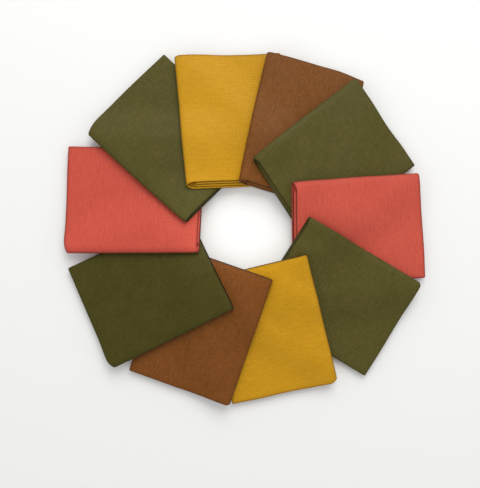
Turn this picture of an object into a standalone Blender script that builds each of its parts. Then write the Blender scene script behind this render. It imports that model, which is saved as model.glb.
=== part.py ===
"""Ten folded fat quarters fanned into a ring, each resting on the one before it.

Run with blender --background --python part.py, or from Blender's text editor.
The names below are in millimetres and degrees; meshes are made in metres with +Z up.
+X and +Y are the photo's right and top, seen from straight above.

Each cloth is folded in four one way and in four the other, so a bundle is 16 plies.
Four plies that were folded together first are one strip here. The strip goes back and
forth in four layers, round a thick folded edge on the bundle's anticlockwise side.
"""

import math
from collections import namedtuple

import bmesh
import bpy
from mathutils import Vector

MM = 0.001

# The strip of four plies and its folds
STRIP = 1.4
LAYER_GAP = 0.5
LAYER_PITCH = STRIP + LAYER_GAP
LAYER_COUNT = 4
BUNDLE_THICKNESS = LAYER_COUNT * STRIP + (LAYER_COUNT - 1) * LAYER_GAP
INNER_FOLD_RADIUS = 0.5 * LAYER_PITCH
OUTER_FOLD_RADIUS = 1.5 * LAYER_PITCH
FOLD_CENTRE = OUTER_FOLD_RADIUS + 0.5 * STRIP
OPEN_SIDE_CENTRE = INNER_FOLD_RADIUS + 0.5 * STRIP
INNER_FOLD_STEPS = 3
OUTER_FOLD_STEPS = 5

# How the layers lie, from the bottom one up: the share of the bundle's overhang at the
# inner end, how far each stops short at the outer end, and the raw ends' setback from
# the open side, where layers 3 and 4 are joined by a fold instead
Layer = namedtuple("Layer", "overhang_share outer_setback raw_setback")
LAYERS = (
    Layer(1.0, 0.8, 0.6),
    Layer(0.7, 1.6, 2.0),
    Layer(0.35, 1.2, 0.0),
    Layer(0.0, 0.0, 0.0),
)

# The pile: clear height between bundles, how far a bundle stays level past the edge of
# one below it, the run over which it then comes down, and how many lie under it
BUNDLE_GAP = 1.2
LEVEL_RUN = 4.0
FALL_RUN = 44.0
BUNDLES_UNDER = 4

# Mesh steps
SIDE_STRIP = 9.0
ACROSS_STEPS = 7
ALONG_STEPS = 8
END_STRIP = 3.0

# Each bundle, clockwise from the one at the photo's upper left. Its place is the middle
# of its folded edge, which runs outwards from the ring's hole at the angle turn. The skew
# is the angle by which the inner end leaves a right angle to that edge. The overhang is
# how far the lower layers show past the top one at the inner end, and the slant is the
# length of strip, from the top of the folded edge, over which they come to show so far
Bundle = namedtuple(
    "Bundle", "name cloth edge_x edge_y turn length width inner_skew overhang slant"
)
BUNDLES = (
    Bundle("fat_quarter_01", "olive", -116.3, 54.5, 138.0, 143.4, 117.8, -2.0, 2.1, 14.0),
    Bundle("fat_quarter_02", "mustard", -68.3, 114.3, 95.6, 135.8, 112.4, -1.9, 6.5, 19.0),
    Bundle("fat_quarter_03", "brown", 8.5, 119.0, 77.6, 137.9, 107.8, -3.7, 3.5, 13.0),
    Bundle("fat_quarter_04", "olive", 62.7, 116.1, 38.7, 136.0, 112.7, -3.9, 3.3, 12.0),
    Bundle("fat_quarter_05", "coral", 117.8, 53.0, 4.7, 131.5, 111.6, -2.5, 4.6, 13.0),
    Bundle("fat_quarter_06", "olive", 127.4, -23.9, -30.3, 137.1, 115.4, -0.9, 2.3, 12.0),
    Bundle("fat_quarter_07", "mustard", 81.0, -95.6, -75.5, 139.8, 114.6, -0.2, 0.5, 14.0),
    Bundle("fat_quarter_08", "brown", 6.0, -121.1, -108.7, 141.1, 113.4, -0.1, 0.5, 14.0),
    Bundle("fat_quarter_09", "olive", -77.3, -116.8, -153.2, 146.3, 117.0, -0.3, 0.7, 14.0),
    Bundle("fat_quarter_10", "coral", -121.9, -26.2, -179.7, 142.2, 114.4, -2.3, 3.0, 15.0),
)

# How each bundle's sides leave straight lines: how far the folded edge bulges in its
# middle, how much narrower the bundle is at its inner end, how far the outer end lies
# past the folded edge's length at each quarter of the way across, and the length and
# depth of the soft corner where the folded edge meets the outer end
Sides = namedtuple(
    "Sides", "fold_bow taper quarter middle three_quarters open_side corner corner_depth"
)
SIDES = {
    "fat_quarter_01": Sides(1.4, 3.0, -0.4, -1.6, -3.8, -6.0, 22.0, 5.0),
    "fat_quarter_02": Sides(0.3, 0.0, -0.5, -2.8, -4.7, -5.6, 8.0, 2.5),
    "fat_quarter_03": Sides(0.9, 0.0, -0.9, -0.7, -2.0, -6.5, 2.0, 1.0),
    "fat_quarter_04": Sides(1.1, 5.0, -1.7, -3.5, -3.9, -6.0, 3.0, 1.5),
    "fat_quarter_05": Sides(0.6, 0.0, 1.1, 1.3, 0.9, -0.3, 3.0, 1.3),
    "fat_quarter_06": Sides(0.5, 2.0, 0.5, 0.4, 0.0, -0.9, 4.0, 2.5),
    "fat_quarter_07": Sides(0.6, 1.0, -0.8, -2.4, -3.0, -4.5, 9.0, 4.2),
    "fat_quarter_08": Sides(0.3, 0.0, 0.3, 0.8, 0.3, -0.1, 4.0, 2.0),
    "fat_quarter_09": Sides(0.8, 5.0, -1.6, -3.3, -5.1, -6.8, 12.0, 6.5),
    "fat_quarter_10": Sides(0.2, 4.0, -1.4, -2.9, -3.8, -5.1, 18.0, 4.3),
}

# Linear base colours and the roughness of plain cotton
CLOTHS = {
    "olive": (0.085, 0.080, 0.020),
    "mustard": (0.640, 0.350, 0.018),
    "brown": (0.235, 0.092, 0.030),
    "coral": (0.610, 0.095, 0.062),
}
COTTON_ROUGHNESS = 0.9


def smooth(share):
    """An S-shaped rise from 0 to 1."""
    share = min(max(share, 0.0), 1.0)
    return 0.5 * (1.0 - math.cos(math.pi * share))


def lerp(start, end, share):
    return start + (end - start) * share


def clear_scene():
    for thing in list(bpy.data.objects):
        bpy.data.objects.remove(thing, do_unlink=True)


def cotton(name):
    """The plain material of one colour of cloth, made once."""
    found = bpy.data.materials.get(name)
    if found:
        return found
    material = bpy.data.materials.new(name)
    material.use_nodes = True
    shader = material.node_tree.nodes["Principled BSDF"]
    shader.inputs["Base Color"].default_value = (*CLOTHS[name], 1.0)
    shader.inputs["Roughness"].default_value = COTTON_ROUGHNESS
    shader.inputs["Metallic"].default_value = 0.0
    return material


def inner_end(bundle, across):
    """Where the top layer stops at the ring's hole, measured along the folded edge."""
    return -0.5 * bundle.length + across * math.tan(math.radians(bundle.inner_skew))


def through(values, share):
    """A smooth curve through evenly spaced values, read at a share of its length."""
    place = min(max(share, 0.0), 1.0) * (len(values) - 1)
    step = min(int(place), len(values) - 2)
    part = place - step
    before, start = values[max(step - 1, 0)], values[step]
    end, after = values[step + 1], values[min(step + 2, len(values) - 1)]
    leaving, arriving = 0.5 * (end - before), 0.5 * (after - start)
    curve = lerp(start, end, part * part * (3.0 - 2.0 * part))
    curve += leaving * part * (1.0 - part) ** 2
    return curve - arriving * part * part * (1.0 - part)


def outer_end(bundle, across):
    """Where the top layer stops outside, with its uneven line and its soft corner."""
    sides = SIDES[bundle.name]
    past = (0.0, sides.quarter, sides.middle, sides.three_quarters, sides.open_side)
    end = 0.5 * bundle.length + through(past, across / bundle.width)
    if across < sides.corner:
        end -= sides.corner_depth * (1.0 - across / sides.corner) ** 2
    return end


def bent(bundle, along, across):
    """The true place across a bundle, whose long sides aren't quite straight."""
    sides = SIDES[bundle.name]
    share, place = across / bundle.width, along / bundle.length
    bow = sides.fold_bow * (1.0 - 4.0 * place * place) * (1.0 - share)
    return across - bow - sides.taper * (0.5 - place) * share


def to_plan(bundle, along, across):
    """The point of the floor plan under a place on a bundle."""
    turn = math.radians(bundle.turn)
    outwards = Vector((math.cos(turn), math.sin(turn)))
    sideways = Vector((outwards.y, -outwards.x))
    return Vector((bundle.edge_x, bundle.edge_y)) + along * outwards + across * sideways


def outline(bundle):
    """The four corners of a bundle on the plan, with its sides taken as straight."""
    far = 0.5 * bundle.length
    places = (
        (inner_end(bundle, 0.0), 0.0),
        (inner_end(bundle, bundle.width), bundle.width),
        (far + SIDES[bundle.name].open_side, bundle.width),
        (far, 0.0),
    )
    corners = [(along, bent(bundle, along, across)) for along, across in places]
    return [to_plan(bundle, along, across) for along, across in corners]


def distance_outside(point, corners):
    """How far a plan point lies outside an outline whose corners run anticlockwise."""
    inside = True
    nearest = math.inf
    for start, end in zip(corners, corners[1:] + corners[:1]):
        side = end - start
        offset = point - start
        if side.cross(offset) < 0.0:
            inside = False
        share = min(max(offset.dot(side) / side.length_squared, 0.0), 1.0)
        nearest = min(nearest, (offset - share * side).length)
    return 0.0 if inside else nearest


def rest_height(number, point):
    """How high the bottom of a bundle lies over a plan point, on those it rests on."""
    height = 0.0
    for step in range(1, BUNDLES_UNDER + 1):
        distance = distance_outside(point, OUTLINES[number - step])
        lift = 1.0 - smooth((distance - LEVEL_RUN) / FALL_RUN)
        height += (BUNDLE_THICKNESS + BUNDLE_GAP) * lift
    return height


def layer_height(layer):
    """The height of a layer's middle over the bundle's bottom."""
    return 0.5 * STRIP + layer * LAYER_PITCH


def fold(bottom, top, centre, radius, side, steps):
    """The points inside a fold's half circle, as (across, height, share of the way up)."""
    middle = 0.5 * (layer_height(bottom) + layer_height(top))
    points = []
    for step in range(1, steps):
        angle = math.pi * step / steps
        across = centre + side * radius * math.sin(angle)
        points.append((across, middle - radius * math.cos(angle), step / steps))
    return points


def across_stations(bundle, layer):
    """The steps across a layer, from the folded edge to the open side."""
    last = bundle.width - OPEN_SIDE_CENTRE
    wide = [lerp(SIDE_STRIP, last, step / ACROSS_STEPS) for step in range(ACROSS_STEPS)]
    if LAYERS[layer].raw_setback:
        last = bundle.width - LAYERS[layer].raw_setback
    return [FOLD_CENTRE, *wide, last]


def section(bundle):
    """The strip's middle line across a bundle: (across, height, overhang, setback).

    It starts at the raw end of the second layer and ends at the raw end of the first.
    """
    shares = [layer.overhang_share for layer in LAYERS]
    setbacks = [layer.outer_setback for layer in LAYERS]
    open_side = bundle.width - OPEN_SIDE_CENTRE
    line = []

    def run(layer, stations):
        for across in stations:
            line.append((across, layer_height(layer), shares[layer], setbacks[layer]))

    def turn(lower, upper, points):
        for across, height, share in points:
            overhang = lerp(shares[lower], shares[upper], share)
            setback = lerp(setbacks[lower], setbacks[upper], share)
            line.append((across, height, overhang, setback))

    run(1, reversed(across_stations(bundle, 1)))
    turn(1, 2, fold(1, 2, FOLD_CENTRE, INNER_FOLD_RADIUS, -1.0, INNER_FOLD_STEPS))
    run(2, across_stations(bundle, 2))
    turn(2, 3, fold(2, 3, open_side, INNER_FOLD_RADIUS, 1.0, INNER_FOLD_STEPS))
    run(3, reversed(across_stations(bundle, 3)))
    half_turn = math.pi * OUTER_FOLD_RADIUS
    for across, height, up in reversed(
        fold(0, 3, FOLD_CENTRE, OUTER_FOLD_RADIUS, -1.0, OUTER_FOLD_STEPS)
    ):
        overhang = smooth(half_turn * (1.0 - up) / bundle.slant)
        line.append((across, height, overhang, lerp(setbacks[0], setbacks[3], up)))
    for across in across_stations(bundle, 0):
        overhang = smooth((half_turn + across - FOLD_CENTRE) / bundle.slant)
        line.append((across, layer_height(0), overhang, setbacks[0]))
    return line


def along_stations(bundle, across, overhang, setback):
    """The steps along a bundle at one place of its section.

    All but the two ends are the same for each layer, so that the layers stay apart.
    """
    first = inner_end(bundle, across) + END_STRIP
    last = outer_end(bundle, across)
    steps = [lerp(first, last, step / ALONG_STEPS) for step in range(ALONG_STEPS)]
    return [inner_end(bundle, across) - overhang * bundle.overhang, *steps, last - setback]


def middle_surface(bundle):
    """A flat bundle's folded strip as a sheet with no thickness."""
    mesh = bmesh.new()
    rows = []
    for across, height, overhang, setback in section(bundle):
        stations = along_stations(bundle, across, overhang, setback)
        places = [Vector((along, -bent(bundle, along, across), height)) for along in stations]
        rows.append([mesh.verts.new(place * MM) for place in places])
    for row, after in zip(rows, rows[1:]):
        for step in range(len(row) - 1):
            mesh.faces.new((row[step], after[step], after[step + 1], row[step + 1]))
    data = bpy.data.meshes.new(bundle.name)
    mesh.to_mesh(data)
    mesh.free()
    return data


def thicken(piece):
    """Gives the sheet the strip's thickness, as plain mesh."""
    shell = piece.modifiers.new("Strip", "SOLIDIFY")
    shell.thickness = STRIP * MM
    shell.offset = 0.0
    shell.use_even_offset = True
    graph = bpy.context.evaluated_depsgraph_get()
    solid = bpy.data.meshes.new_from_object(piece.evaluated_get(graph))
    piece.modifiers.clear()
    flat = piece.data
    piece.data = solid
    bpy.data.meshes.remove(flat)
    solid.name = piece.name


def drape(piece, number, bundle):
    """Lifts each point of a bundle by what lies under it."""
    for vertex in piece.data.vertices:
        point = to_plan(bundle, vertex.co.x / MM, -vertex.co.y / MM)
        vertex.co.z += rest_height(number, point) * MM


def make_bundle(number, bundle):
    piece = bpy.data.objects.new(bundle.name, middle_surface(bundle))
    bpy.context.collection.objects.link(piece)
    piece.data.materials.append(cotton(bundle.cloth))
    thicken(piece)
    drape(piece, number, bundle)
    piece.location = Vector((bundle.edge_x, bundle.edge_y, 0.0)) * MM
    piece.rotation_euler.z = math.radians(bundle.turn)


OUTLINES = [outline(bundle) for bundle in BUNDLES]

clear_scene()
for index, row in enumerate(BUNDLES):
    make_bundle(index, row)
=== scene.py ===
"""The looks of ten folded fat quarters fanned into a ring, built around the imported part.

Each cloth is one thin sheet, folded in four along its length and in four again across,
so a bundle holds all its sixteen plies with their folds and raw ends. Lengths below are
millimetres and angles degrees, but the floor and the lamps are laid out in metres. All
meshes are made in metres, with +Z up.
"""

import math
from collections import namedtuple

import bpy
import numpy as np
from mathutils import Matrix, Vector


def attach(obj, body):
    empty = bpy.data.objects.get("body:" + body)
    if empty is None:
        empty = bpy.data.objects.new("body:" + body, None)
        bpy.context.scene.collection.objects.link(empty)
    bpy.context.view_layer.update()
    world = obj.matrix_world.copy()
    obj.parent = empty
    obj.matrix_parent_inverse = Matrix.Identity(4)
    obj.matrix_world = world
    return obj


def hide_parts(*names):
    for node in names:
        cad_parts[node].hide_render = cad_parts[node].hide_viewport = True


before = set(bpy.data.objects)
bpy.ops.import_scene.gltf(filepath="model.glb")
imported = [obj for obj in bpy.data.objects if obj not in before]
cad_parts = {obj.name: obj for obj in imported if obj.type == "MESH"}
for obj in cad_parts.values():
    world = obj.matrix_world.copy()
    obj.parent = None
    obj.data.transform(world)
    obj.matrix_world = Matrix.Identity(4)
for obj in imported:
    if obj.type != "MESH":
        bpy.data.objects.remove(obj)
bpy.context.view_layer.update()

MM = 0.001

# The camera looks straight down from here, and its lens takes in this width of floor
CAMERA_X, CAMERA_Y, CAMERA_HEIGHT = -5.4, -16.7, 640.0
VIEW_WIDTH = 517.4
SENSOR_WIDTH = 36.0

# The cloth: its cut size, the thickness of a ply, the pitch of the plies in a strip of
# four and the pitch of the four layers that the strip makes
PLY = 0.30
PLY_PITCH = 0.44
LAYER_PITCH = 2.04
PLY_COUNT = LAYER_COUNT = 4
STRIP = (PLY_COUNT - 1) * PLY_PITCH + PLY
THICKNESS = (LAYER_COUNT - 1) * LAYER_PITCH + STRIP

# The folds between layers: how far in from the folded edge the thick one and the one
# inside it begin to turn, and how far in from the open side the third one does
FOLD_REACH = 8.0
FOLD_CENTRE = FOLD_REACH + 0.5 * STRIP
FOLD_BLUNTNESS = 2.8  # 2 is an ellipse, and more is blunter
INNER_FOLD_CENTRE = 6.6
OPEN_SIDE_CENTRE = 0.5 * (LAYER_PITCH + STRIP)

# The layers, from the bottom one up: how far each stops short at the outer end, and the
# raw ends' setback from the open side, where the upper two are joined by a fold instead
Layer = namedtuple("Layer", "outer_setback raw_setback")
LAYERS = (Layer(0.8, 0.6), Layer(1.6, 2.0), Layer(1.2, 0.0), Layer(0.0, 0.0))

# The plies in the strip: how far the outermost one bulges at the inner end, and how far
# the two raw ends lie past the folds at the outer end
PLY_FOLD_REACH = 1.5 * PLY_PITCH
RAW_PLY_ENDS = (-1.2, -0.6)

# How much thinner a bundle is along each side, and how far in that reaches
Thinning = namedtuple("Thinning", "share reach")
INNER_THINNING = Thinning(0.11, 8.0)
OUTER_THINNING = Thinning(0.07, 5.0)
OPEN_THINNING = Thinning(0.07, 6.0)

# How many steps each stretch of a folded sheet has; the ply and the layer on top of the
# bundle have the most. The wide fold starts this many points before the end of the path
STEPS_UNDER, STEPS_TOP = 18, 48
FOLD_STEPS, WIDE_FOLD_STEPS = 6, 14
WIDE_FOLD_START = -(STEPS_UNDER + WIDE_FOLD_STEPS + 1)

# The pile, as in the solids: how far one bundle lifts the next, how far a bundle stays
# level past the edge of one below it, the run over which it then comes down, and how
# many lie under it
BUNDLE_PITCH = 8.3
LEVEL_RUN = 4.0
FALL_RUN = 44.0
BUNDLES_UNDER = 4

# Each bundle, clockwise from the one at the photo's upper left. Its place is the middle
# of its folded edge, which runs outwards from the ring's hole at the angle turn. The skew
# is the angle by which the inner end leaves a right angle to that edge. The overhang is
# how far the lower layers show past the top one at the inner end, and the slant is the
# length of strip, from the top of the folded edge, over which they come to show so far
Bundle = namedtuple(
    "Bundle", "name cloth edge_x edge_y turn length width inner_skew overhang slant"
)
BUNDLES = (
    Bundle("fat_quarter_01", "olive", -116.3, 54.5, 138.0, 143.4, 117.8, -2.0, 2.1, 14.0),
    Bundle("fat_quarter_02", "mustard", -68.3, 114.3, 95.6, 135.8, 112.4, -1.9, 6.5, 19.0),
    Bundle("fat_quarter_03", "brown", 8.5, 119.0, 77.6, 137.9, 107.8, -3.7, 3.5, 13.0),
    Bundle("fat_quarter_04", "olive", 62.7, 116.1, 38.7, 136.0, 112.7, -3.9, 3.3, 12.0),
    Bundle("fat_quarter_05", "coral", 117.8, 53.0, 4.7, 131.5, 111.6, -2.5, 4.6, 13.0),
    Bundle("fat_quarter_06", "olive", 127.4, -23.9, -30.3, 137.1, 115.4, -0.9, 2.3, 12.0),
    Bundle("fat_quarter_07", "mustard", 81.0, -95.6, -75.5, 139.8, 114.6, -0.2, 0.5, 14.0),
    Bundle("fat_quarter_08", "brown", 6.0, -121.1, -108.7, 141.1, 113.4, -0.1, 0.5, 14.0),
    Bundle("fat_quarter_09", "olive", -77.3, -116.8, -153.2, 146.3, 117.0, -0.3, 0.7, 14.0),
    Bundle("fat_quarter_10", "coral", -121.9, -26.2, -179.7, 142.2, 114.4, -2.3, 3.0, 15.0),
)

# How each bundle's sides leave straight lines: how far the folded edge bulges in its
# middle, how much narrower the bundle is at its inner end, how far the outer end lies
# past the folded edge's length at each quarter of the way across, and the length and
# depth of the soft corner where the folded edge meets the outer end
Sides = namedtuple(
    "Sides", "fold_bow taper quarter middle three_quarters open_side corner corner_depth"
)
SIDES = {
    "fat_quarter_01": Sides(1.4, 3.0, -0.4, -1.6, -3.8, -6.0, 22.0, 5.0),
    "fat_quarter_02": Sides(0.3, 0.0, -0.5, -2.8, -4.7, -5.6, 6.0, 1.2),
    "fat_quarter_03": Sides(0.9, 0.0, -0.9, -0.7, -2.0, -6.5, 2.0, 1.0),
    "fat_quarter_04": Sides(1.1, 5.0, -1.7, -3.5, -3.9, -6.0, 3.0, 1.5),
    "fat_quarter_05": Sides(0.6, 0.0, 1.1, 1.3, 0.9, -0.3, 3.0, 1.0),
    "fat_quarter_06": Sides(0.5, 2.0, 0.5, 0.4, 0.0, -0.9, 4.0, 2.5),
    "fat_quarter_07": Sides(0.6, 1.0, -0.8, -2.4, -3.0, -4.5, 9.0, 4.2),
    "fat_quarter_08": Sides(0.3, 0.0, 0.3, 0.8, 0.3, -0.1, 4.0, 2.0),
    "fat_quarter_09": Sides(0.8, 5.0, -1.6, -3.3, -5.1, -6.8, 14.0, 4.8),
    "fat_quarter_10": Sides(0.2, 4.0, -1.4, -2.9, -3.8, -5.1, 18.0, 4.3),
}

# How much of the overhang each layer has, from the bottom one up
USUAL_SHARES = (1.0, 0.7, 0.35, 0.0)
OVERHANG_SHARES = {
    "fat_quarter_02": (1.0, 0.68, 0.33, 0.0),
    "fat_quarter_03": (1.0, 0.92, 0.48, 0.0),
    "fat_quarter_04": (1.0, 0.92, 0.50, 0.0),
    "fat_quarter_05": (1.0, 0.66, 0.60, 0.0),
    "fat_quarter_10": (1.0, 0.92, 0.72, 0.0),
}

# Creases and dents in the tops: a line along and across the bundle, its depth and width
Trough = namedtuple("Trough", "name along across end_along end_across depth width")
TROUGHS = (
    Trough("fat_quarter_07", -12.0, 54.0, 26.0, 33.0, 0.55, 5.0),
    Trough("fat_quarter_07", -21.0, 15.0, -12.0, 11.0, 0.35, 5.0),
    Trough("fat_quarter_03", -40.0, 22.0, 20.0, 14.0, 0.25, 6.0),
    Trough("fat_quarter_05", 6.0, 20.0, 48.0, 60.0, 0.25, 8.0),
    Trough("fat_quarter_10", -30.0, 70.0, 25.0, 84.0, 0.25, 7.0),
    Trough("fat_quarter_10", -70.0, 0.0, 70.0, 0.0, 1.3, 4.0),
)

# The soft waves all over a bundle: the lengths along and across it over which the small
# and the large ones turn by a radian, their height, and the large ones' share of it
Wave = namedtuple("Wave", "along across")
SMALL_WAVE, LARGE_WAVE = Wave(6.3, 7.9), Wave(13.1, 10.3)
WAVE_HEIGHT = 0.06
LARGE_WAVE_SHARE = 0.7

# How each cloth looks: the linear colours of its dark and light threads and of its sheen,
# how strongly threads show along its length and across it and ribs across it, how patchy
# it is, how much a painted highlight lightens the rounded ends that show past the layer
# above, and how much painted shade darkens its other edges
Cloth = namedtuple("Cloth", "dark light sheen lengthwise crosswise ribs patchy crest rim")
CLOTHS = {
    "olive": Cloth(
        dark=(0.072, 0.067, 0.008), light=(0.110, 0.090, 0.021), sheen=(0.30, 0.30, 0.15),
        lengthwise=0.55, crosswise=0.5, ribs=0.0, patchy=0.5, crest=1.3, rim=0.25,
    ),
    "mustard": Cloth(
        dark=(0.495, 0.235, 0.002), light=(0.630, 0.322, 0.008), sheen=(0.90, 0.65, 0.15),
        lengthwise=0.25, crosswise=0.35, ribs=0.4, patchy=0.25, crest=0.3, rim=0.65,
    ),
    "brown": Cloth(
        dark=(0.155, 0.050, 0.004), light=(0.229, 0.080, 0.016), sheen=(0.50, 0.32, 0.20),
        lengthwise=0.6, crosswise=0.4, ribs=0.0, patchy=0.4, crest=1.1, rim=0.4,
    ),
    "coral": Cloth(
        dark=(0.520, 0.070, 0.045), light=(0.658, 0.104, 0.067), sheen=(0.90, 0.50, 0.42),
        lengthwise=0.2, crosswise=0.35, ribs=0.4, patchy=0.2, crest=0.15, rim=0.75,
    ),
}
# Painted shade: the bundles on the ring's lower and left side get darker, less blue copies
# of their cloth's colours, for the weaker light and shine that fall on them
NO_TINT = (1.0, 1.0, 1.0)
PAINTED_SHADE_TINTS = {
    "fat_quarter_08": (1.02, 0.96, 0.80),
    "fat_quarter_09": (0.74, 0.74, 0.42),
    "fat_quarter_10": (1.00, 0.94, 0.93),
}

# The uneven streaks in the yarn: their length and width, how fine their noise is and how
# strongly they show, which each cloth's own strengths multiply
Streak = namedtuple("Streak", "length width detail strength")
SLUBS = Streak(34.0, 1.3, 2.0, 0.6)
THREADS = Streak(12.0, 0.8, 1.0, 3.5)
GRAIN = Streak(0.9, 0.9, 1.0, 3.0)
PATCHES = Streak(22.0, 22.0, 1.5, 1.0)
NOISE_ROUGHNESS = 0.6
BACK_SHIFT = 40.0  # from the noise on the cloth's front to that on its back

# The ribs' pitch, and how far slubs push them aside
RIB_PITCH = 2.2
RIB_WANDER = 6.0

# How far the tone may leave the range from dark to light threads, and the darkest colour
TONE_RANGE = (-0.3, 1.3)
DARKEST = 0.001

# The bumps of the threads, and how much of them is the even weave
THREAD_PITCH = 0.45
WEAVE_SHARE = 0.12
BUMP_STRENGTH = 0.4
BUMP_DEPTH = 0.15

# The cotton's dull shine
ROUGHNESS, PATCH_ROUGHNESS = 0.5, 0.2
SPECULAR = 0.2
SHEEN, SHEEN_ROUGHNESS = 0.08, 0.5

# Painted shade: how much darker the cloth is painted in the grooves between layers and along
# its inner end, and how far from them that fades. Hidden layers count as this far from a groove
Shade = namedtuple("Shade", "share reach")
PAINTED_GROOVE_SHADE = Shade(0.95, 0.6)
PAINTED_INNER_RIM_SHADE = Shade(0.5, 0.7)
# How far the painted shade along the outer end, the open side and the folded edge reaches
PAINTED_OUTER_RIM_REACH = 1.2
HIDDEN = -99.0

# The floor, and the light on it: a window past the photo's top edge, a narrow ceiling
# spot on the ring's middle, and a grey world whose light is strongest low down
FLOOR_SIZE = 4.0
FLOOR_COLOUR = (0.92, 0.92, 0.91, 1.0)
FLOOR_ROUGHNESS = 0.7
Lamp = namedtuple("Lamp", "place size power colour")
WINDOW = Lamp((0.26, 1.33, 1.37), 1.3, 21.2, (1.0, 0.99, 0.96))
CEILING = Lamp((0.0, 0.0, 0.9), 0.02, 8.0, (1.0, 0.99, 0.95))
CEILING_ANGLE = 10.4
WORLD_LOW, WORLD_HIGH = 0.95, 0.55


def smooth(share):
    """An S-shaped rise from 0 to 1, on numbers or arrays."""
    return 0.5 * (1.0 - np.cos(np.pi * np.clip(share, 0.0, 1.0)))


def lerp(start, end, share):
    return start + (end - start) * share


def eased(steps, pull=0.6):
    """Shares from 0 to 1 that lie closer together near both ends."""
    share = np.linspace(0.0, 1.0, steps + 1)
    return share - pull * np.sin(2.0 * np.pi * share) / (2.0 * np.pi)


def through(values, share):
    """A smooth curve through evenly spaced values, read at shares of its length."""
    place = np.clip(share, 0.0, 1.0) * (len(values) - 1)
    step = np.minimum(place.astype(int), len(values) - 2)
    part = place - step
    known = np.array([values[0], *values, values[-1]])
    before, start, end, after = (known[step + shift] for shift in range(4))
    curve = lerp(start, end, part * part * (3.0 - 2.0 * part))
    curve += 0.5 * (end - before) * part * (1.0 - part) ** 2
    return curve - 0.5 * (after - start) * part * part * (1.0 - part)


# A folded line, as arrays of the share of the reach, the offset past it, the height over
# the middle, the way the line's outer face looks, and the length of line so far
Path = namedtuple("Path", "share past height look_past look_up length")


def folded_path(reach, pitch, raw_ends, fold_reach, inner_shift):
    """A line folded in four, seen from the side.

    It starts at the raw end of level 1, turns up to level 2 round an inner fold at share
    0, up to level 3 round a fold at share 1, and down to level 0 round all at share 0.
    The raw ends lie past share 1 by the lengths given, the wide fold bulges past share 0
    by its reach, and the fold inside it is shifted that way too.
    """
    rows = []

    def level(number):
        return (number - 0.5 * (PLY_COUNT - 1)) * pitch

    def run(number, shares, facing, shift=0.0):
        for share in shares:
            rows.append((share, -shift * (1.0 - share), level(number), 0.0, facing))

    def turn(lower, upper, side, facing, shift=0.0):
        radius = 0.5 * (level(upper) - level(lower))
        middle = 0.5 * (level(upper) + level(lower))
        share = 1.0 if side > 0.0 else 0.0
        for angle in np.linspace(0.0, math.pi, FOLD_STEPS + 1)[1:-1]:
            out, up = side * math.sin(angle), -math.cos(angle)
            past, height = radius * out - shift, middle + radius * up
            rows.append((share, past, height, facing * out, facing * up))

    def wide_turn():
        for angle in np.linspace(0.0, math.pi, WIDE_FOLD_STEPS + 1)[1:-1]:
            up = math.cos(angle)
            out = math.sqrt(1.0 - abs(up) ** FOLD_BLUNTNESS)
            slope = 0.5 * FOLD_BLUNTNESS * math.copysign(abs(up) ** (FOLD_BLUNTNESS - 1.0), up)
            look = Vector((-out / fold_reach, slope / level(3))).normalized()
            rows.append((0.0, -fold_reach * out, level(3) * up, look.x, look.y))

    first, last = (1.0 + past / reach for past in raw_ends)
    run(1, first * (1.0 - eased(STEPS_UNDER)), -1.0, inner_shift)
    turn(1, 2, -1.0, -1.0, inner_shift)
    run(2, eased(STEPS_UNDER), 1.0, inner_shift)
    turn(2, 3, 1.0, 1.0)
    run(3, 1.0 - eased(STEPS_TOP), 1.0)
    wide_turn()
    run(0, last * eased(STEPS_UNDER), -1.0)
    share, past, height, look_past, look_up = np.array(rows).T
    steps = np.hypot(np.diff(share * reach + past), np.diff(height))
    length = np.concatenate([[0.0], np.cumsum(steps)])
    return Path(share, past, height, look_past, look_up, length)


def inner_end(bundle, across):
    return -0.5 * bundle.length + across * math.tan(math.radians(bundle.inner_skew))


def outer_end(bundle, across):
    sides = SIDES[bundle.name]
    past = (0.0, sides.quarter, sides.middle, sides.three_quarters, sides.open_side)
    end = 0.5 * bundle.length + through(past, across / bundle.width)
    corner = np.clip(1.0 - across / sides.corner, 0.0, 1.0)
    return end - sides.corner_depth * corner**2


def bent(bundle, along, across):
    """The true place across a bundle, whose long sides aren't quite straight."""
    sides = SIDES[bundle.name]
    share, place = across / bundle.width, along / bundle.length
    bow = sides.fold_bow * (1.0 - 4.0 * place * place) * (1.0 - share)
    return across - bow - sides.taper * (0.5 - place) * share


def to_plan(bundle, along, across):
    """The floor plan's x and y under a place on a bundle."""
    turn = math.radians(bundle.turn)
    x = bundle.edge_x + along * math.cos(turn) + across * math.sin(turn)
    y = bundle.edge_y + along * math.sin(turn) - across * math.cos(turn)
    return x, y


def outline(bundle):
    """A bundle's corners on the plan, anticlockwise, with its sides taken as straight."""
    far = 0.5 * bundle.length
    corners = (
        (inner_end(bundle, 0.0), 0.0),
        (inner_end(bundle, bundle.width), bundle.width),
        (far + SIDES[bundle.name].open_side, bundle.width),
        (far, 0.0),
    )
    return np.array([
        to_plan(bundle, along, bent(bundle, along, across)) for along, across in corners
    ])


def distance_outside(x, y, corners):
    """How far plan points lie outside an outline whose corners run anticlockwise."""
    inside = np.ones(x.shape, bool)
    nearest = np.full(x.shape, np.inf)
    for start, end in zip(corners, np.roll(corners, -1, axis=0)):
        side = end - start
        dx, dy = x - start[0], y - start[1]
        inside &= side[0] * dy - side[1] * dx >= 0.0
        share = np.clip((dx * side[0] + dy * side[1]) / (side @ side), 0.0, 1.0)
        nearest = np.minimum(nearest, np.hypot(dx - share * side[0], dy - share * side[1]))
    return np.where(inside, 0.0, nearest)


OUTLINES = [outline(bundle) for bundle in BUNDLES]


def rest_height(number, x, y):
    """How high the bottom of a bundle lies over plan points, on those it rests on.

    The first bundle rests on the last ones, since the ring is closed.
    """
    height = np.zeros(x.shape)
    for step in range(1, BUNDLES_UNDER + 1):
        distance = distance_outside(x, y, OUTLINES[number - step])
        height += BUNDLE_PITCH * (1.0 - smooth((distance - LEVEL_RUN) / FALL_RUN))
    return height


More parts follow.
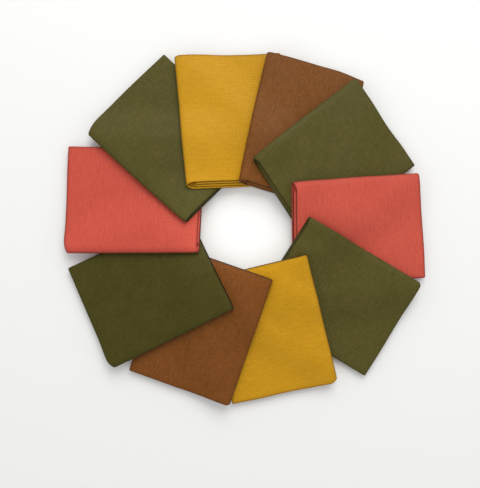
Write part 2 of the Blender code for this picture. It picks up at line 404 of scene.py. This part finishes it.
def relief(bundle, along, across):
    """Soft waves over a bundle, and its troughs and dents."""
    phase = math.radians(bundle.turn)
    waves = np.sin(along / SMALL_WAVE.along + phase) * np.sin(across / SMALL_WAVE.across - phase)
    swell = along / LARGE_WAVE.along - across / LARGE_WAVE.across
    waves += LARGE_WAVE_SHARE * np.sin(swell + 2.0 * phase)
    height = WAVE_HEIGHT * waves
    for trough in TROUGHS:
        if trough.name != bundle.name:
            continue
        run = np.array([trough.end_along - trough.along, trough.end_across - trough.across])
        dx, dy = along - trough.along, across - trough.across
        share = np.clip((dx * run[0] + dy * run[1]) / (run @ run), 0.0, 1.0)
        away = np.hypot(dx - share * run[0], dy - share * run[1]) / trough.width
        height -= trough.depth * np.exp(-away * away)
    return height


def thinned(bundle, height, along, across):
    """Heights on a bundle that is a little thinner along three of its sides."""
    sides = (
        (INNER_THINNING, along - inner_end(bundle, across) + bundle.overhang),
        (OUTER_THINNING, outer_end(bundle, across) - along),
        (OPEN_THINNING, bundle.width - across),
    )
    for thinning, inward in sides:
        near = np.clip(1.0 - inward / thinning.reach, 0.0, 1.0)
        height = height * (1.0 - thinning.share * near**2)
    return height


def level_share(height):
    """Which layer of the strip a height over the bundle's middle belongs to, from 0 to 3."""
    return np.clip(height / LAYER_PITCH + 0.5 * (LAYER_COUNT - 1), 0.0, LAYER_COUNT - 1.0)


def overhang_shares(bundle):
    return OVERHANG_SHARES.get(bundle.name, USUAL_SHARES)


def overhangs(bundle, strip):
    """How far past the top layer the strip shows at the inner end, along its path.

    From the top of the folded edge on, the strip slants out to the full overhang.
    """
    found = np.interp(level_share(strip.height), range(LAYER_COUNT), overhang_shares(bundle))
    after = strip.length[WIDE_FOLD_START:] - strip.length[WIDE_FOLD_START]
    found[WIDE_FOLD_START:] = smooth(after / bundle.slant)
    return found * bundle.overhang


def setbacks(strip):
    """How far the strip stops short at the outer end, along its path.

    Round the folded edge, it goes evenly from the top layer's setback to the lowest's.
    """
    known = [layer.outer_setback for layer in LAYERS]
    found = np.interp(level_share(strip.height), range(LAYER_COUNT), known)
    down = 1.0 - level_share(strip.height[WIDE_FOLD_START:]) / (LAYER_COUNT - 1)
    found[WIDE_FOLD_START:] = LAYERS[0].outer_setback * down
    return found


def edge_distances(bundle, strip, along, across, edge, setback):
    """How far points lie from the edges where shade and highlights are painted.

    Gives how far each shows past the inner end of the layer above, how far inside its own
    layer's inner end it lies, and how far inside its other sides.
    """
    layers = np.rint(level_share(strip.height)).astype(int)
    shares = np.array(overhang_shares(bundle))
    step_out = np.append(shares[:-1] - shares[1:], 0.0)[layers] * bundle.overhang
    shown = np.where(layers == LAYER_COUNT - 1, HIDDEN, edge + step_out - along)
    outer = outer_end(bundle, across) - setback - along
    outer = np.minimum(np.minimum(outer, bundle.width - across), across)
    return np.stack([shown, along - edge, outer], axis=-1)


def sheet_points(number, bundle):
    """Both faces of a folded cloth: its points, cloth places and distances from edges.

    The strip's path runs across the bundle, and the ply's path runs along it within the
    strip. The arrays run over the faces, the ply's steps and the strip's steps.
    """
    reach_across = bundle.width - FOLD_CENTRE - OPEN_SIDE_CENTRE
    reach_along = bundle.length - STRIP
    raw_ends = [OPEN_SIDE_CENTRE - LAYERS[layer].raw_setback for layer in (1, 0)]
    inner_shift = INNER_FOLD_CENTRE - FOLD_CENTRE
    strip = folded_path(reach_across, LAYER_PITCH, raw_ends, FOLD_REACH, inner_shift)
    ply = folded_path(reach_along, PLY_PITCH, RAW_PLY_ENDS, PLY_FOLD_REACH, 0.0)
    strip_across = FOLD_CENTRE + strip.share * reach_across + strip.past
    overhang, setback = overhangs(bundle, strip), setbacks(strip)

    points, edges = [], []
    for side in (0.5, -0.5):
        out = (ply.height + side * PLY * ply.look_up)[:, None]
        past = (ply.past + side * PLY * ply.look_past)[:, None]
        across = strip_across + out * strip.look_past
        height = strip.height + out * strip.look_up + 0.5 * THICKNESS
        edge = inner_end(bundle, across) - overhang
        near = edge + 0.5 * STRIP
        far = outer_end(bundle, across) - setback - 0.5 * (PLY_PITCH + PLY)
        along = lerp(near, far, ply.share[:, None]) + past
        edges.append(edge_distances(bundle, strip, along, across, edge, setback))
        height = thinned(bundle, height, along, across)
        height += relief(bundle, along, across) * height / THICKNESS
        across = bent(bundle, along, across)
        x, y = to_plan(bundle, along, across)
        points.append(np.stack([x, y, height + rest_height(number, x, y)], axis=-1))
    cloth = np.stack(np.meshgrid(ply.length, strip.length, indexing="ij"), axis=-1)
    return np.array(points), cloth, np.array(edges)


def sheet_mesh(name, points, cloth, edges):
    """A closed mesh of a folded sheet, with its cloth places in millimetres."""
    sides, rows, columns, _ = points.shape
    index = np.arange(sides * rows * columns).reshape(sides, rows, columns)

    def quads(a, b, c, d):
        return np.stack([a, b, c, d], axis=-1).reshape(-1, 4)

    def wall(front, back):
        return quads(front[:-1], back[:-1], back[1:], front[1:])

    front, back = index
    sheets = np.concatenate([
        quads(front[:-1, :-1], front[1:, :-1], front[1:, 1:], front[:-1, 1:]),
        quads(back[:-1, :-1], back[:-1, 1:], back[1:, 1:], back[1:, :-1]),
    ])
    walls = np.concatenate([
        wall(front[0], back[0]),
        wall(back[-1], front[-1]),
        wall(back[:, 0], front[:, 0]),
        wall(front[:, -1], back[:, -1]),
    ])
    mesh = bpy.data.meshes.new(name)
    mesh.from_pydata((points.reshape(-1, 3) * MM).tolist(), [], [*sheets.tolist(), *walls.tolist()])
    places = np.zeros((sides, rows, columns, 3), np.float32)
    places[..., :2] = cloth
    places[1, ..., 2] = BACK_SHIFT
    # The edges attribute holds the distances at which the material paints shade and highlights
    for attribute, values in (("cloth", places), ("edges", edges)):
        data = mesh.attributes.new(attribute, "FLOAT_VECTOR", "POINT").data
        data.foreach_set("vector", values.astype(np.float32).ravel())
    sharp = np.zeros(len(mesh.polygons), bool)
    sharp[len(sheets):] = True
    mesh.attributes.new("sharp_face", "BOOLEAN", "FACE").data.foreach_set("value", sharp)
    mesh.update()
    return mesh


class Nodes:
    """A short way to add linked nodes to a material."""

    def __init__(self, material):
        material.use_nodes = True
        self.tree = material.node_tree
        self.shader = self.tree.nodes["Principled BSDF"]

    def put(self, value, socket):
        """Links a socket to another node's output, or sets it."""
        if isinstance(value, bpy.types.NodeSocket):
            self.tree.links.new(value, socket)
        else:
            socket.default_value = value

    def add(self, kind, **inputs):
        node = self.tree.nodes.new("ShaderNode" + kind)
        for name, value in inputs.items():
            self.put(value, node.inputs[name])
        return node.outputs[0]

    def math(self, operation, *values):
        node = self.tree.nodes.new("ShaderNodeMath")
        node.operation = operation
        for value, socket in zip(values, node.inputs):
            self.put(value, socket)
        return node.outputs[0]

    def attribute(self, name):
        """A vector that the mesh keeps at each point."""
        node = self.tree.nodes.new("ShaderNodeAttribute")
        node.attribute_name = name
        return node.outputs["Vector"]

    def split(self, vector):
        node = self.tree.nodes.new("ShaderNodeSeparateXYZ")
        self.put(vector, node.inputs["Vector"])
        return tuple(node.outputs)

    def streaks(self, place, streak, crosswise=False):
        """Noise that is drawn out along the cloth, or across it."""
        along, across = streak.length, streak.width
        if crosswise:
            along, across = across, along
        stretched = self.add("Mapping", Vector=place, Scale=(1.0 / along, 1.0 / across, 1.0))
        return self.add(
            "TexNoise", Vector=stretched, Scale=1.0, Detail=streak.detail, Roughness=NOISE_ROUGHNESS
        )


Noises = namedtuple(
    "Noises", "slubs_along slubs_across threads_along threads_across grain patches"
)


def cloth_noises(nodes, place):
    return Noises(
        nodes.streaks(place, SLUBS),
        nodes.streaks(place, SLUBS, crosswise=True),
        nodes.streaks(place, THREADS),
        nodes.streaks(place, THREADS, crosswise=True),
        nodes.streaks(place, GRAIN),
        nodes.streaks(place, PATCHES),
    )


def thread_tone(nodes, cloth, noises, u):
    """How light the threads are, mostly from 0 to 1."""
    wander = nodes.math("MULTIPLY", noises.slubs_across, RIB_WANDER)
    swing = nodes.math("MULTIPLY_ADD", u, 2.0 * math.pi / RIB_PITCH, wander)
    ribs = nodes.math("MULTIPLY_ADD", nodes.math("SINE", swing), 0.5, 0.5)
    tone = 0.5
    for noise, strength in (
        (noises.slubs_along, SLUBS.strength * cloth.lengthwise),
        (noises.slubs_across, SLUBS.strength * cloth.crosswise),
        (noises.threads_along, THREADS.strength * cloth.lengthwise),
        (noises.threads_across, THREADS.strength * cloth.crosswise),
        (ribs, cloth.ribs),
        (noises.grain, GRAIN.strength),
        (noises.patches, PATCHES.strength * cloth.patchy),
    ):
        offset = nodes.math("SUBTRACT", noise, 0.5)
        tone = nodes.math("MULTIPLY_ADD", offset, strength, tone)
    lowest, highest = TONE_RANGE
    return nodes.math("MINIMUM", nodes.math("MAXIMUM", tone, lowest), highest)


def painted_edge_light(nodes, cloth):
    """What the colour is multiplied by: painted shade near grooves and rims, and painted highlights
    on the ends that show.
    """
    shown, inner, outer = nodes.split(nodes.attribute("edges"))

    def fading(distance, reach):
        return nodes.math("EXPONENT", nodes.math("MULTIPLY", distance, -1.0 / reach))

    # Painted shade in the grooves between layers, along the inner ends and along the other edges
    light = 1.0
    painted_outer_rim_shade = Shade(cloth.rim, PAINTED_OUTER_RIM_REACH)
    for distance, shade in ((shown, PAINTED_GROOVE_SHADE), (inner, PAINTED_INNER_RIM_SHADE), (outer, painted_outer_rim_shade)):
        near = fading(nodes.math("ABSOLUTE", distance), shade.reach)
        light = nodes.math("MULTIPLY", light, nodes.math("MULTIPLY_ADD", near, -shade.share, 1.0))
    # A painted highlight on the ends of lower layers that show past the layer above
    past = nodes.math("MAXIMUM", shown, 0.0)
    crest = nodes.math("SUBTRACT", 1.0, fading(past, PAINTED_GROOVE_SHADE.reach))
    return nodes.math("MULTIPLY", light, nodes.math("MULTIPLY_ADD", crest, cloth.crest, 1.0))


def thread_bump(nodes, noises, u, v):
    """The bumps of uneven threads and of the weave that they make."""
    turn = math.pi / THREAD_PITCH
    weave_u = nodes.math("SINE", nodes.math("MULTIPLY", u, turn))
    weave_v = nodes.math("SINE", nodes.math("MULTIPLY", v, turn))
    weave = nodes.math("MULTIPLY", weave_u, weave_v)
    bumps = nodes.math("ADD", noises.threads_along, noises.threads_across)
    bumps = nodes.math("MULTIPLY_ADD", weave, WEAVE_SHARE, bumps)
    return nodes.add("Bump", Strength=BUMP_STRENGTH, Distance=BUMP_DEPTH * MM, Height=bumps)


def cotton(name, cloth, tint):
    """Plain weave with slubs both ways and soft patches, with painted shade in the grooves
    between layers and along the edges, and painted highlights on the ends that show.
    """
    material = bpy.data.materials.new(name)
    nodes = Nodes(material)
    place = nodes.attribute("cloth")
    u, v, _ = nodes.split(place)
    noises = cloth_noises(nodes, place)
    tone = thread_tone(nodes, cloth, noises, u)
    # Painted shade and painted highlights along the grooves and edges, which the colour is
    # multiplied by
    light = painted_edge_light(nodes, cloth)
    parts = []
    for dark, bright, share in zip(cloth.dark, cloth.light, tint):
        part = nodes.math("MULTIPLY_ADD", tone, (bright - dark) * share, dark * share)
        parts.append(nodes.math("MULTIPLY", nodes.math("MAXIMUM", part, DARKEST), light))
    looks = {
        "Base Color": nodes.add("CombineColor", Red=parts[0], Green=parts[1], Blue=parts[2]),
        "Roughness": nodes.math("MULTIPLY_ADD", noises.patches, PATCH_ROUGHNESS, ROUGHNESS),
        "Normal": thread_bump(nodes, noises, u, v),
        "Specular IOR Level": SPECULAR,
        "Sheen Weight": SHEEN,
        "Sheen Roughness": SHEEN_ROUGHNESS,
        "Sheen Tint": (*cloth.sheen, 1.0),
    }
    for socket, value in looks.items():
        nodes.put(value, nodes.shader.inputs[socket])
    return material


def add_object(name, data):
    thing = bpy.data.objects.new(name, data)
    bpy.context.collection.objects.link(thing)
    return thing


def make_bundle(number, bundle):
    mesh = sheet_mesh(bundle.name, *sheet_points(number, bundle))
    tint = PAINTED_SHADE_TINTS.get(bundle.name, NO_TINT)
    mesh.materials.append(cotton(bundle.name + "_cotton", CLOTHS[bundle.cloth], tint))
    piece = add_object("cloth_" + bundle.name[-2:], mesh)
    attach(piece, "root")
    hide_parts(bundle.name)


def make_floor(size):
    mesh = bpy.data.meshes.new("floor")
    corners = [(-size, -size, 0), (size, -size, 0), (size, size, 0), (-size, size, 0)]
    mesh.from_pydata(corners, [], [(0, 1, 2, 3)])
    material = bpy.data.materials.new("floor_paper")
    material.use_nodes = True
    shader = material.node_tree.nodes["Principled BSDF"]
    shader.inputs["Base Color"].default_value = FLOOR_COLOUR
    shader.inputs["Roughness"].default_value = FLOOR_ROUGHNESS
    mesh.materials.append(material)
    add_object("floor", mesh)


def make_camera():
    data = bpy.data.cameras.new("camera")
    data.sensor_fit = "HORIZONTAL"
    data.sensor_width = SENSOR_WIDTH
    data.lens = SENSOR_WIDTH * CAMERA_HEIGHT / VIEW_WIDTH
    camera = add_object("camera", data)
    camera.location = Vector((CAMERA_X, CAMERA_Y, CAMERA_HEIGHT)) * MM
    bpy.context.scene.camera = camera


def make_window(window):
    """A square lamp aimed at the middle of the ring."""
    data = bpy.data.lights.new("window", "AREA")
    data.size = window.size
    data.energy = window.power
    data.color = window.colour
    lamp = add_object("window", data)
    lamp.location = window.place
    lamp.rotation_euler = (-Vector(window.place)).to_track_quat("-Z", "Y").to_euler()


def make_spot(ceiling, angle):
    """A soft round lamp that shines straight down."""
    data = bpy.data.lights.new("ceiling", "SPOT")
    data.spot_size = math.radians(angle)
    data.spot_blend = 1.0
    data.shadow_soft_size = ceiling.size
    data.energy = ceiling.power
    data.color = ceiling.colour
    lamp = add_object("ceiling", data)
    lamp.location = ceiling.place
    lamp.visible_glossy = False


def make_world(low, high):
    """A grey light from all sides, stronger low down, which the cloth's shine ignores."""
    world = bpy.data.worlds.new("studio")
    world.use_nodes = True
    tree = world.node_tree
    place = tree.nodes.new("ShaderNodeTexCoord")
    parts = tree.nodes.new("ShaderNodeSeparateXYZ")
    strength = tree.nodes.new("ShaderNodeMapRange")
    strength.inputs["To Min"].default_value = low
    strength.inputs["To Max"].default_value = high
    back = tree.nodes["Background"]
    back.inputs["Color"].default_value = (1.0, 1.0, 1.0, 1.0)
    tree.links.new(place.outputs["Generated"], parts.inputs["Vector"])
    tree.links.new(parts.outputs["Z"], strength.inputs["Value"])
    tree.links.new(strength.outputs["Result"], back.inputs["Strength"])
    bpy.context.scene.world = world
    world.cycles_visibility.glossy = False


make_camera()
for number, bundle in enumerate(BUNDLES):
    make_bundle(number, bundle)

make_floor(FLOOR_SIZE)
make_window(WINDOW)
make_spot(CEILING, CEILING_ANGLE)
make_world(WORLD_LOW, WORLD_HIGH)
bpy.context.scene.view_settings.view_transform = "Standard"
